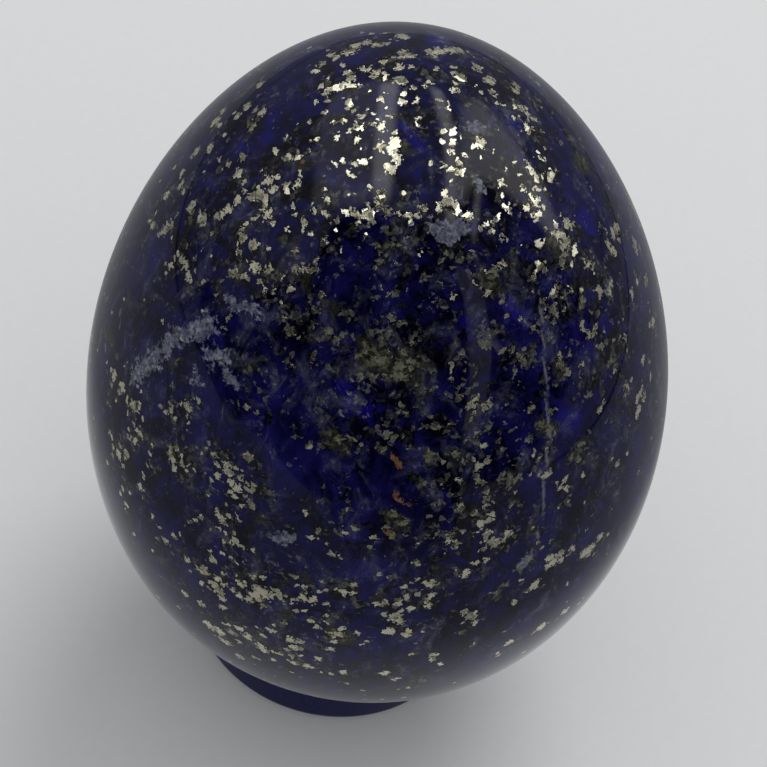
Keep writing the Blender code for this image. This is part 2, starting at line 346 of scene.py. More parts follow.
# Ceiling strips in the stone: where each crosses the middle, its slant, half width and brightness
CEILING_STRIPS = ((-0.288, 0.128, 0.10, 3.6), (0.364, 0.355, 0.068, 3.1), (0.70, 0.33, 0.032, 2.4))


class EggSettings(bpy.types.PropertyGroup):
    """Sizes of the stone: those of the frame's solid, and the point that it is drawn out to."""

    height: bpy.props.FloatProperty(
        name="Height", description="Length of the egg along its axis", default=0.0624, unit="LENGTH"
    )
    mid_width: bpy.props.FloatProperty(
        name="Width", description="Width across the middle of its height", default=0.048, unit="LENGTH"
    )
    taper: bpy.props.FloatProperty(
        name="Taper", description="How much fuller the lower half is", default=0.118
    )
    fullness: bpy.props.FloatProperty(
        name="Fullness", description="Extra width towards both ends", default=0.015
    )
    point: bpy.props.FloatProperty(
        name="Point", description="How much longer and slimmer the upper end is", default=0.025
    )
    lean: bpy.props.FloatProperty(
        name="Lean", description="Lean of the axis towards -X", default=math.radians(4.3), subtype="ANGLE"
    )
    segments: bpy.props.IntProperty(name="Segments", description="Faces round the egg", default=300)
    bands: bpy.props.IntProperty(name="Bands", description="Faces from pole to pole", default=150)


class StoneSettings(bpy.types.PropertyGroup):
    """Colours of the stone's minerals."""

    shade: bpy.props.FloatVectorProperty(
        name="Shade", description="Darkest blue of the stone", default=(0.0003, 0.0003, 0.0048),
        subtype="COLOR", min=0.0, max=1.0,
    )
    blue: bpy.props.FloatVectorProperty(
        name="Blue", description="Common blue of the stone", default=(0.0082, 0.0068, 0.074),
        subtype="COLOR", min=0.0, max=1.0,
    )
    ultramarine: bpy.props.FloatVectorProperty(
        name="Ultramarine", description="Purest blue of the stone", default=(0.0050, 0.0028, 0.115),
        subtype="COLOR", min=0.0, max=1.0,
    )
    calcite: bpy.props.FloatVectorProperty(
        name="Calcite", description="Grey-white veins and clouds", default=(0.31, 0.32, 0.38),
        subtype="COLOR", min=0.0, max=1.0,
    )
    olive: bpy.props.FloatVectorProperty(
        name="Olive", description="Green-brown mineral between the blues", default=(0.085, 0.084, 0.050),
        subtype="COLOR", min=0.0, max=1.0,
    )
    rust: bpy.props.FloatVectorProperty(
        name="Rust", description="Weathered iron spots", default=(0.17, 0.085, 0.034),
        subtype="COLOR", min=0.0, max=1.0,
    )
    pyrite: bpy.props.FloatVectorProperty(
        name="Pyrite", description="Metal of the golden grains", default=(0.93, 0.90, 0.68),
        subtype="COLOR", min=0.0, max=1.0,
    )
    hidden_clusters: bpy.props.IntProperty(
        name="Hidden Clusters", description="Clusters of grains on the sides that no photo shows",
        default=190,
    )


class RingSettings(bpy.types.PropertyGroup):
    """Sizes and colour of the ring stand."""

    foot_radius: bpy.props.FloatProperty(
        name="Foot Radius", description="Outer radius at the foot", default=0.013, unit="LENGTH"
    )
    height: bpy.props.FloatProperty(
        name="Height", description="Height of the lip over the floor", default=0.0056, unit="LENGTH"
    )
    wall: bpy.props.FloatProperty(
        name="Wall", description="Thickness of the wall", default=0.0024, unit="LENGTH"
    )
    draft: bpy.props.FloatProperty(
        name="Draft", description="How far the wall leans in", default=0.00035, unit="LENGTH"
    )
    foot_rounding: bpy.props.FloatProperty(
        name="Foot Rounding", description="Radius of the softened foot", default=0.0008, unit="LENGTH"
    )
    segments: bpy.props.IntProperty(name="Segments", description="Faces round the ring", default=180)
    navy: bpy.props.FloatVectorProperty(
        name="Navy", description="Colour of the plastic", default=(0.0012, 0.0014, 0.058),
        subtype="COLOR", min=0.0, max=1.0,
    )


class StageSettings(bpy.types.PropertyGroup):
    """The camera of the photograph, the floor and the light."""

    elevation: bpy.props.FloatProperty(
        name="Elevation", description="Height of the view over the horizon",
        default=math.radians(47.97), subtype="ANGLE",
    )
    roll: bpy.props.FloatProperty(
        name="Roll", description="Turn of the camera about its view", default=math.radians(13.164),
        subtype="ANGLE",
    )
    distance: bpy.props.FloatProperty(
        name="Distance", description="From the lens to the middle of the egg", default=0.168, unit="LENGTH"
    )
    lens: bpy.props.FloatProperty(
        name="Lens", description="Focal length in millimetres on a 36 mm sensor", default=94.95
    )
    aim_x: bpy.props.FloatProperty(
        name="Aim X", description="Pixel that shows the egg's middle, across", default=379.01
    )
    aim_y: bpy.props.FloatProperty(
        name="Aim Y", description="Pixel that shows the egg's middle, down", default=366.67
    )
    paper: bpy.props.FloatVectorProperty(
        name="Paper", description="Colour of the floor", default=(0.80, 0.80, 0.80),
        subtype="COLOR", min=0.0, max=1.0,
    )
    window_place: bpy.props.FloatVectorProperty(
        name="Window Place", description="Where the soft light hangs", default=(0.20, 0.64, 0.86),
        subtype="TRANSLATION",
    )
    window_size: bpy.props.FloatProperty(
        name="Window Size", description="Width of the soft light", default=0.74, unit="LENGTH"
    )
    window_power: bpy.props.FloatProperty(
        name="Window Power", description="Watts of the soft light from the back", default=4.1
    )
    room_light: bpy.props.FloatProperty(
        name="Room Light", description="Strength of the even light from all round", default=0.60
    )


def egg_point(egg, latitude):
    """Radius and height of the egg's outline at a latitude, from its centre."""
    rise = math.sin(latitude)
    drawn = egg.point * max(0.0, rise) ** 2
    swell = 1.0 - egg.taper * rise + egg.fullness * rise * rise - drawn
    return egg.mid_width / 2 * math.cos(latitude) * swell, egg.height / 2 * (rise + drawn)


def egg_axis(egg):
    """Direction of the leaning egg's axis, towards its narrow end."""
    return Vector((-math.sin(egg.lean), 0.0, math.cos(egg.lean)))


def egg_reach(egg, direction):
    """How far the leaning egg reaches from its centre in a direction."""
    along = direction.dot(egg_axis(egg))
    across = math.sqrt(max(0.0, 1.0 - along * along))
    best = 0.0
    for latitude in np.linspace(-math.pi / 2, math.pi / 2, 1801):
        radius, height = egg_point(egg, latitude)
        best = max(best, radius * across + height * along)
    return best


def egg_centre(egg):
    """The egg's centre, from the box of the frame's solid."""
    low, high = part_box("lapis_egg")
    x = low[0] + egg_reach(egg, Vector((-1, 0, 0)))
    z = low[2] + egg_reach(egg, Vector((0, 0, -1)))
    return Vector((x, (low[1] + high[1]) / 2, z))


class View:
    """The photograph's camera: where it stands, and the ray of each pixel."""

    def __init__(self, stage, middle):
        self.back = Vector((0.0, -math.cos(stage.elevation), math.sin(stage.elevation)))
        level = Vector((1.0, 0.0, 0.0))
        upright = level.cross(-self.back)
        turn, lift = math.cos(stage.roll), math.sin(stage.roll)
        self.right = level * turn + upright * lift
        self.up = upright * turn - level * lift
        self.eye = middle + self.back * stage.distance
        self.focal = stage.lens / 1000 / SENSOR * PHOTO_SIDE
        self.aim = (stage.aim_x, stage.aim_y)

    def ray(self, x, y):
        """Direction from the eye through a pixel of the photograph."""
        across = self.right * (x - self.aim[0])
        down = self.up * (y - self.aim[1])
        return (across - down - self.back * self.focal).normalized()

    def matrix(self):
        """Place of the camera object."""
        turned = Matrix((self.right, self.up, self.back)).transposed()
        return Matrix.Translation(self.eye) @ turned.to_4x4()


def deselect_all():
    """Leave nothing selected, as the frame's own nodes are after loading."""
    for item in bpy.context.selected_objects:
        item.select_set(False)


def turned_piece(name, outline, segments, closed=False):
    """Draw an outline of radii and heights vertex by vertex and spin it round Z."""
    deselect_all()
    bpy.ops.mesh.primitive_plane_add(size=0.001)
    piece = bpy.context.object
    piece.name = name
    piece.data.name = name
    bpy.ops.object.mode_set(mode="EDIT")
    bpy.ops.mesh.merge(type="CENTER")
    radius, height = outline[0]
    bpy.ops.transform.translate(value=(radius, 0.0, height))
    steps = list(zip(outline, outline[1:]))
    if closed:
        steps.append((outline[-1], outline[0]))
    for before, after in steps:
        step = (after[0] - before[0], 0.0, after[1] - before[1])
        bpy.ops.mesh.extrude_region_move(TRANSFORM_OT_translate={"value": step})
    bpy.ops.mesh.select_all(action="SELECT")
    bpy.ops.mesh.remove_doubles(threshold=1e-7)
    bpy.ops.mesh.select_all(action="SELECT")
    bpy.ops.mesh.spin(steps=segments, angle=math.tau, center=(0, 0, 0), axis=(0, 0, 1))
    bpy.ops.mesh.select_all(action="SELECT")
    bpy.ops.mesh.remove_doubles(threshold=1e-6)
    bpy.ops.mesh.normals_make_consistent(inside=False)
    bpy.ops.object.mode_set(mode="OBJECT")
    bpy.ops.object.shade_smooth()
    return piece


def settle(piece, place, lean=0.0):
    """Move a piece to its place and leave its object at the origin, unturned."""
    piece.location = place
    piece.rotation_euler = (0.0, -lean, 0.0)
    bpy.ops.object.transform_apply(location=True, rotation=True, scale=True)


class Caster:
    """Finds the places on the egg that the photograph's pixels show."""

    def __init__(self, piece, view, middle):
        bpy.context.view_layer.update()
        self.piece = piece
        self.view = view
        self.middle = middle

    def hit(self, x, y):
        """Place and outward normal under a pixel; pixels just off the outline are drawn in."""
        for pull in (0.0, 0.01, 0.02, 0.04, 0.08):
            px = x + (self.view.aim[0] - x) * pull
            py = y + (self.view.aim[1] - y) * pull
            found, place, normal, _ = self.piece.ray_cast(self.view.eye, self.view.ray(px, py))
            if found:
                return place, normal
        raise ValueError(f"pixel {x}, {y} doesn't show the egg")

    def grain(self, x, y, radius):
        """Place and radius in metres of a round mark in the photograph."""
        place, normal = self.hit(x, y)
        towards = self.view.eye - place
        tilt = max(0.25, normal.dot(towards.normalized()))
        return place, radius * towards.length / self.view.focal / math.sqrt(tilt)

    def outward(self, azimuth, height):
        """Place on the egg in a direction from its middle: azimuth in radians, height -1 to 1."""
        flat = math.sqrt(max(0.0, 1.0 - height * height))
        direction = Vector((math.sin(azimuth) * flat, math.cos(azimuth) * flat, height))
        found, place, normal, _ = self.piece.ray_cast(self.middle + direction * 0.1, -direction)
        if not found:
            raise ValueError("a direction misses the egg")
        return place, normal

    def shown(self, place, normal):
        """Whether the photograph shows a place on the egg, rather than its far side."""
        return normal.dot((self.view.eye - place).normalized()) > 0.12


def seen_grains(caster):
    """Grains read off the photograph: place, radius and kind, 1 for dull ones."""
    grains = []
    for kind, groups in ((0.0, PYRITE), (1.0, DULL_GRAINS)):
        for marks in groups.values():
            for x, y, radius in marks:
                place, size = caster.grain(x, y, radius)
                grains.append((place, size, kind))
    return grains


def hidden_grains(caster, clusters, draw):
    """Grains of the same kinds on the sides that the photograph doesn't show."""
    grains = []
    made = 0
    while made < clusters:
        place, normal = caster.outward(draw.uniform(0, math.tau), draw.uniform(-1, 1))
        if caster.shown(place, normal):
            continue
        made += 1
        side = normal.orthogonal().normalized()
        ahead = Matrix.Rotation(draw.uniform(0, math.tau), 3, normal) @ side
        kind = 1.0 if draw.random() < HIDDEN_DULL else 0.0
        walker = place
        for _ in range(draw.randint(2, 15)):
            step = draw.uniform(0.25, 0.75) / 1000
            ahead = Matrix.Rotation(draw.uniform(-1.1, 1.1), 3, normal) @ ahead
            walker = walker + ahead * step
            found, near, normal, _ = caster.piece.closest_point_on_mesh(walker)
            if not found:
                break
            walker = near
            if caster.shown(near, normal):
                continue
            size = draw.choice(HIDDEN_SIZES) / 1000
            grains.append((near.copy(), size * draw.uniform(0.8, 1.15), kind))
    return grains


def stroke_points(caster, strokes):
    """Strokes in the photograph as runs of places on the egg, each with its half width."""
    runs = []
    for width, pixels in strokes.values():
        places = [caster.grain(x, y, width) for x, y in pixels]
        runs.append(([place for place, _ in places], sum(size for _, size in places) / len(places)))
    return runs


def hidden_strokes(caster, count, width, steps, draw):
    """Strokes of a mineral on the sides that the photograph doesn't show."""
    runs = []
    while len(runs) < count:
        place, normal = caster.outward(draw.uniform(0, math.tau), draw.uniform(-1, 1))
        if caster.shown(place, normal):
            continue
        side = normal.orthogonal().normalized()
        ahead = Matrix.Rotation(draw.uniform(0, math.tau), 3, normal) @ side
        run = [place]
        for _ in range(draw.randint(1, steps)):
            ahead = Matrix.Rotation(draw.uniform(-0.6, 0.6), 3, normal) @ ahead
            walker = run[-1] + ahead * draw.uniform(0.8, 1.9) / 1000
            found, near, normal, _ = caster.piece.closest_point_on_mesh(walker)
            if not found or caster.shown(near, normal):
                break
            run.append(near.copy())
        if len(run) > 1:
            runs.append((run, draw.uniform(0.6, 1.3) * width / 1000))
    return runs


def stroke_field(points, runs, softness):
    """How strongly the strokes cover each point: 1 inside, 0 outside, soft between."""
    field = np.zeros(len(points))
    for run, width in runs:
        for start, end in zip(run, run[1:]):
            a, b = np.array(start), np.array(end)
            along = b - a
            span = max(1e-12, float(along @ along))
            share = np.clip((points - a) @ along / span, 0.0, 1.0)
            gap = np.linalg.norm(points - (a + share[:, None] * along), axis=1)
            cover = np.clip((width * (1 + softness) - gap) / (2 * width * softness), 0.0, 1.0)
            field = np.maximum(field, cover)
    return field


def store(piece, name, kind, domain, values):
    """Write an array into a named attribute of a piece."""
    layer = piece.data.attributes.new(name, kind, domain)
    field = {"FLOAT": "value", "FLOAT_VECTOR": "vector", "FLOAT_COLOR": "color"}[kind]
    layer.data.foreach_set(field, np.asarray(values, dtype=np.float32).ravel())


def mark_grains(piece, grains):
    """Tell each face of the egg the four grains nearest to it, in millimetres."""
    tree = KDTree(len(grains))
    for index, (place, _, _) in enumerate(grains):
        tree.insert(place, index)
    tree.balance()
    rows = [[] for _ in range(GRAIN_LAYERS)]
    kinds = []
    for polygon in piece.data.polygons:
        near = tree.find_n(polygon.center, 9)
        near = sorted(near, key=lambda found: found[2] - grains[found[1]][1])[:GRAIN_LAYERS]
        for layer, (_, index, _) in zip(rows, near):
            place, size, _ = grains[index]
            layer.append((place.x * 1000, place.y * 1000, place.z * 1000, size * 1000))
        kinds.append([grains[index][2] for _, index, _ in near])
    for number, layer in enumerate(rows):
        store(piece, f"grain_{number + 1}", "FLOAT_COLOR", "FACE", layer)
    store(piece, "grain_kinds", "FLOAT_COLOR", "FACE", kinds)


# The nodes that every material of this file is put together from

def add_node(tree, kind, inputs=None, **settings):
    """Add a node, set its options, and set or link its inputs by name or number."""
    node = tree.nodes.new(kind)
    for name, value in settings.items():
        setattr(node, name, value)
    for name, value in (inputs or {}).items():
        if isinstance(value, bpy.types.NodeSocket):
            tree.links.new(value, node.inputs[name])
        else:
            node.inputs[name].default_value = value
    return node


def maths(tree, operation, *values, clamp=False):
    """Add a math node and return its value."""
    inputs = dict(enumerate(values))
    return add_node(tree, "ShaderNodeMath", inputs, operation=operation, use_clamp=clamp).outputs[0]


def vector_maths(tree, operation, *values):
    """Add a vector math node and return the node."""
    return add_node(tree, "ShaderNodeVectorMath", dict(enumerate(values)), operation=operation)


def smooth_step(tree, value, low, high, out_low=0.0, out_high=1.0):
    """Rise smoothly from one value to another between two limits."""
    inputs = {"Value": value, "From Min": low, "From Max": high, "To Min": out_low, "To Max": out_high}
    return add_node(tree, "ShaderNodeMapRange", inputs, interpolation_type="SMOOTHSTEP").outputs[0]


def blend_colours(tree, factor, first, second, blend="MIX"):
    """Blend two colours by a factor."""
    node = tree.nodes.new("ShaderNodeMix")
    node.data_type = "RGBA"
    node.blend_type = blend
    for socket, value in ((node.inputs[0], factor), (node.inputs[6], first), (node.inputs[7], second)):
        if isinstance(value, bpy.types.NodeSocket):
            tree.links.new(value, socket)
        else:
            socket.default_value = value
    return node.outputs[2]


def noise(tree, place, scale, detail=3.0, roughness=0.55, distortion=0.0):
    """Add a noise texture and return its value."""
    inputs = {
        "Vector": place, "Scale": scale, "Detail": detail, "Roughness": roughness, "Distortion": distortion,
    }
    return add_node(tree, "ShaderNodeTexNoise", inputs).outputs["Fac"]


def attribute(tree, name):
    """Add an attribute node for a named layer of the mesh."""
    return add_node(tree, "ShaderNodeAttribute", attribute_name=name)


def rgba(colour):
    """A colour with full opacity."""
    return (colour[0], colour[1], colour[2], 1.0)


def channel(tree, colour, number):
    """One channel of a colour."""
    return add_node(tree, "ShaderNodeSeparateColor", {0: colour}).outputs[number]


def lay_over(tree, colour, mask, share, tone):
    """Lay a tone over a colour where a mask says, at a share of full strength."""
    return blend_colours(tree, maths(tree, "MULTIPLY", mask, share), colour, tone)


def torn_mask(tree, name, tearing, low, high):
    """Cover of a mineral that is marked on the mesh, its edges torn by a noise."""
    cover = attribute(tree, name).outputs["Fac"]
    return smooth_step(tree, maths(tree, "ADD", cover, tearing), low, high)


def new_group(name, inputs, outputs):
    """Start a shader node group with named inputs and outputs."""
    group = bpy.data.node_groups.new(name, "ShaderNodeTree")
    for label, kind, default in inputs:
        socket = group.interface.new_socket(label, in_out="INPUT", socket_type=kind)
        if default is not None:
            socket.default_value = default
    for label, kind in outputs:
        group.interface.new_socket(label, in_out="OUTPUT", socket_type=kind)
    start = group.nodes.new("NodeGroupInput")
    end = group.nodes.new("NodeGroupOutput")
    return group, start, end


def use_group(tree, group, **inputs):
    """Place a node group in a tree; input names are given with underscores for spaces."""
    node = tree.nodes.new("ShaderNodeGroup")
    node.node_tree = group
    for name, value in inputs.items():
        socket = node.inputs[name.replace("_", " ").title()]
        if isinstance(value, bpy.types.NodeSocket):
            tree.links.new(value, socket)
        else:
            socket.default_value = value
    return node


def grain_cells_group():
    """Angular crystal cells: a place snapped to its cell, and random values of the cell."""
    group, start, end = new_group(
        "Crystal Cells",
        [("Place", "NodeSocketVector", None), ("Cell Size", "NodeSocketFloat", 0.16),
         ("Angularity", "NodeSocketFloat", 0.6), ("Raggedness", "NodeSocketFloat", 0.3)],
        [("Snapped", "NodeSocketVector"), ("Random", "NodeSocketFloat"),
         ("Random Colour", "NodeSocketColor")],
    )
    place = start.outputs["Place"]
    scale = maths(group, "DIVIDE", 1.0, start.outputs["Cell Size"])
    warp = add_node(
        group, "ShaderNodeTexNoise", {"Vector": place, "Scale": 1.25, "Detail": 2.5, "Roughness": 0.65}
    ).outputs["Color"]
    centred = vector_maths(group, "SUBTRACT", warp, (0.5, 0.5, 0.5)).outputs[0]
    offset = vector_maths(group, "SCALE", centred)
    group.links.new(start.outputs["Raggedness"], offset.inputs["Scale"])
    warped = vector_maths(group, "ADD", place, offset.outputs[0]).outputs[0]
    cells = add_node(group, "ShaderNodeTexVoronoi", {"Vector": warped, "Scale": scale})
    snapped = add_node(
        group, "ShaderNodeMix",
        {0: start.outputs["Angularity"], 4: warped, 5: cells.outputs["Position"]}, data_type="VECTOR",
    ).outputs[1]
    parts = add_node(group, "ShaderNodeSeparateColor", {0: cells.outputs["Color"]})
    group.links.new(snapped, end.inputs["Snapped"])
    group.links.new(parts.outputs[0], end.inputs["Random"])
    group.links.new(cells.outputs["Color"], end.inputs["Random Colour"])
    return group


def grain_test_group():
    """How far a place lies inside one grain, in millimetres; negative outside."""
    group, start, end = new_group(
        "Grain Depth",
        [("Place", "NodeSocketVector", None), ("Centre", "NodeSocketVector", None),
         ("Radius", "NodeSocketFloat", 0.3), ("Random", "NodeSocketFloat", 0.5)],
        [("Depth", "NodeSocketFloat")],
    )
    gap = vector_maths(group, "DISTANCE", start.outputs["Place"], start.outputs["Centre"]).outputs["Value"]
    loosened = maths(group, "MULTIPLY_ADD", start.outputs["Random"], 0.75, 0.56)
    reach = maths(group, "MULTIPLY", start.outputs["Radius"], loosened)
    group.links.new(maths(group, "SUBTRACT", reach, gap), end.inputs["Depth"])
    return group


def polish_group():
    """Handled polish: fine smears in roughness and a faint relief, shared by stone and ring."""
    group, start, end = new_group(
        "Polish Wear",
        [("Place", "NodeSocketVector", None), ("Base Roughness", "NodeSocketFloat", 0.06),
         ("Wear", "NodeSocketFloat", 0.05)],
        [("Roughness", "NodeSocketFloat"), ("Relief", "NodeSocketFloat")],
    )
    place = start.outputs["Place"]
    smears = noise(group, place, 0.09, 4.0, 0.6, 1.4)
    fine = noise(group, place, 1.7, 3.0, 0.6)
    stretched = vector_maths(group, "MULTIPLY", place, (0.5, 3.0, 7.0)).outputs[0]
    hairs = noise(group, stretched, 1.2, 2.0, 0.5, 0.4)
    hair_mask = smooth_step(group, hairs, 0.66, 0.72)
    worn = smooth_step(group, smears, 0.48, 0.72)
    amount = maths(group, "MULTIPLY_ADD", hair_mask, 0.35, worn)
    rough = maths(group, "MULTIPLY_ADD", amount, start.outputs["Wear"], start.outputs["Base Roughness"])
    relief = maths(group, "MULTIPLY_ADD", hair_mask, -0.3, fine)
    group.links.new(rough, end.inputs["Roughness"])
    group.links.new(relief, end.inputs["Relief"])
    return group


def mottle_group():
    """Clouded depth of the stone: four noises, from broad clouds to fine grain and a veil."""
    group, start, end = new_group(
        "Stone Mottling",
        [("Place", "NodeSocketVector", None)],
        [("Broad", "NodeSocketFloat"), ("Middle", "NodeSocketFloat"), ("Fine", "NodeSocketFloat"),
         ("Veil", "NodeSocketFloat")],
    )
    place = start.outputs["Place"]
    upright = vector_maths(group, "MULTIPLY", place, (1.0, 1.0, 0.62)).outputs[0]
    group.links.new(noise(group, upright, 0.16, 3.0, 0.6, 0.8), end.inputs["Broad"])
    group.links.new(noise(group, upright, 0.62, 4.0, 0.65, 1.1), end.inputs["Middle"])
    group.links.new(noise(group, place, 2.6, 4.0, 0.7, 0.6), end.inputs["Fine"])
    group.links.new(noise(group, upright, 0.46, 5.0, 0.74, 0.6), end.inputs["Veil"])
    return group


def shared_group(name, maker):
    """A node group that several materials use, made by the first of them."""
    return bpy.data.node_groups.get(name) or maker()


def new_material(name):
    """Start a material with its shader; returns the tree and the Principled BSDF."""
    material = bpy.data.materials.new(name)
    material.use_nodes = True
    return material, material.node_tree, material.node_tree.nodes["Principled BSDF"]


def millimetres(tree):
    """Object coordinates in millimetres."""
    place = add_node(tree, "ShaderNodeTexCoord").outputs["Object"]
    scaled = vector_maths(tree, "SCALE", place)
    scaled.inputs["Scale"].default_value = 1000.0
    return scaled.outputs[0]


def marked_grains(tree, cells):
    """How deep a place lies in the marked pyrite and in the marked dull crystals."""
    kinds = attribute(tree, "grain_kinds")
    kind_parts = add_node(tree, "ShaderNodeSeparateColor", {0: kinds.outputs["Color"]})
    kind_values = [*kind_parts.outputs[:3], kinds.outputs["Alpha"]]
    depth_test = grain_test_group()
    metal_depth = dull_depth = None
    for number in range(GRAIN_LAYERS):
        layer = attribute(tree, f"grain_{number + 1}")
        tested = use_group(
            tree, depth_test, place=cells.outputs["Snapped"], centre=layer.outputs["Color"],
            radius=layer.outputs["Alpha"], random=cells.outputs["Random"],
        ).outputs["Depth"]
        bright = maths(tree, "SUBTRACT", 1.0, kind_values[number])
        as_metal = maths(tree, "SUBTRACT", tested, maths(tree, "MULTIPLY", kind_values[number], OTHER_KIND))
        as_dull = maths(tree, "SUBTRACT", tested, maths(tree, "MULTIPLY", bright, OTHER_KIND))
        metal_depth = as_metal if metal_depth is None else maths(tree, "MAXIMUM", metal_depth, as_metal)
        dull_depth = as_dull if dull_depth is None else maths(tree, "MAXIMUM", dull_depth, as_dull)
    return metal_depth, dull_depth


def clouded_blue(tree, stone, mottle, fine):
    """The blues of the stone by its clouds, purest where the mesh marks it."""
    broad = smooth_step(tree, mottle.outputs["Broad"], 0.36, 0.66)
    middle = smooth_step(tree, mottle.outputs["Middle"], 0.38, 0.66)
    depth = maths(tree, "MULTIPLY_ADD", broad, 0.45, maths(tree, "MULTIPLY_ADD", middle, 0.45, -0.06))
    depth = maths(tree, "MULTIPLY_ADD", fine, 0.22, depth, clamp=True)
    colour = blend_colours(tree, depth, rgba(stone.shade), rgba(stone.blue))
    pure_noise = maths(tree, "MULTIPLY_ADD", mottle.outputs["Middle"], 1.2, -0.6)
    pure = torn_mask(tree, "ultramarine", pure_noise, 0.30, 1.10)
    stray = smooth_step(tree, mottle.outputs["Middle"], 0.60, 0.74)
    pure = maths(tree, "MAXIMUM", pure, maths(tree, "MULTIPLY", stray, 0.55))
    return blend_colours(tree, pure, colour, rgba(stone.ultramarine))


def dark_matrix(tree, colour, place, density, crystal):
    """Nearly black matrix with angular olive crystals, thickest round the grains."""
    ragged = noise(tree, place, 0.42, 6.0, 0.68, 0.9)
    reach = maths(tree, "MULTIPLY_ADD", density, 0.13, -0.105)
    matrix = smooth_step(tree, maths(tree, "ADD", ragged, reach), 0.51, 0.57)
    tone = blend_colours(tree, crystal, (0.0005, 0.0005, 0.0022, 1.0), (0.105, 0.104, 0.078, 1.0))
    return lay_over(tree, colour, matrix, 0.90, tone)


def veins_and_spots(tree, stone, colour, mottle, fine, crystal, specks):
    """Calcite, olive, rust and the thin lines; returns the colour and three of their masks."""
    speck_random = specks.outputs["Random"]
    speck_tint = channel(tree, specks.outputs["Random Colour"], 2)
    veil = maths(tree, "MULTIPLY_ADD", speck_random, 0.14, 0.07)
    veil = maths(tree, "MULTIPLY", smooth_step(tree, mottle.outputs["Veil"], 0.48, 0.74), veil)
    colour = blend_colours(tree, veil, colour, rgba(stone.calcite))

    fine_share = maths(tree, "MULTIPLY", mottle.outputs["Fine"], 1.2)
    torn = maths(tree, "MULTIPLY_ADD", mottle.outputs["Veil"], 1.1, fine_share)
    grain_noise = maths(tree, "SUBTRACT", torn, 1.15)
    lowered = maths(tree, "SUBTRACT", grain_noise, 0.27)
    patch_noise = maths(tree, "MULTIPLY_ADD", speck_random, 0.55, lowered)
    calcite = torn_mask(tree, "calcite", patch_noise, 0.34, 0.62)
    paleness = maths(tree, "MULTIPLY", fine, maths(tree, "MULTIPLY_ADD", speck_tint, 0.7, 0.3))
    tone = blend_colours(tree, paleness, (0.045, 0.048, 0.085, 1.0), rgba(stone.calcite))
    colour = lay_over(tree, colour, calcite, 0.85, tone)

    olive = torn_mask(tree, "olive", grain_noise, 0.30, 0.80)
    olive_mix = maths(tree, "MULTIPLY_ADD", crystal, 1.3, maths(tree, "MULTIPLY", fine, 0.35), clamp=True)
    tone = blend_colours(tree, olive_mix, (0.006, 0.006, 0.004, 1.0), rgba(stone.olive))
    colour = lay_over(tree, colour, olive, 0.85, tone)

    rust = torn_mask(tree, "rust", patch_noise, 0.42, 0.60)
    tone = blend_colours(tree, speck_tint, (0.05, 0.026, 0.014, 1.0), rgba(stone.rust))
    colour = lay_over(tree, colour, rust, 0.9, tone)

    crack_noise = maths(tree, "MULTIPLY_ADD", mottle.outputs["Fine"], 0.9, -0.45)
    crack = torn_mask(tree, "crack", crack_noise, 0.45, 0.8)
    colour = lay_over(tree, colour, crack, 0.8, (0.13, 0.13, 0.16, 1.0))
    return colour, calcite, olive, crack


def stone_normal(tree, metal, crack, relief, facets, cell_tint):
    """Pyrite stands a hair proud in tilted facets; the lines lie a hair deep."""
    height = maths(tree, "MULTIPLY_ADD", metal, 0.5, maths(tree, "MULTIPLY", relief, 0.10))
    height = maths(tree, "MULTIPLY_ADD", maths(tree, "MULTIPLY", metal, cell_tint), 0.9, height)
    height = maths(tree, "MULTIPLY_ADD", crack, -0.5, height)
    facing = add_node(tree, "ShaderNodeNewGeometry").outputs["Normal"]
    turned = vector_maths(tree, "SUBTRACT", facets.outputs["Random Colour"], (0.5, 0.5, 0.5)).outputs[0]
    tilt = vector_maths(tree, "SCALE", turned)
    tree.links.new(maths(tree, "MULTIPLY", metal, 0.30), tilt.inputs["Scale"])
    facing = vector_maths(tree, "ADD", facing, tilt.outputs[0]).outputs[0]
    facing = vector_maths(tree, "NORMALIZE", facing).outputs[0]
    return add_node(
        tree, "ShaderNodeBump", {"Strength": 0.35, "Distance": 0.00002, "Height": height, "Normal": facing}
    ).outputs[0]


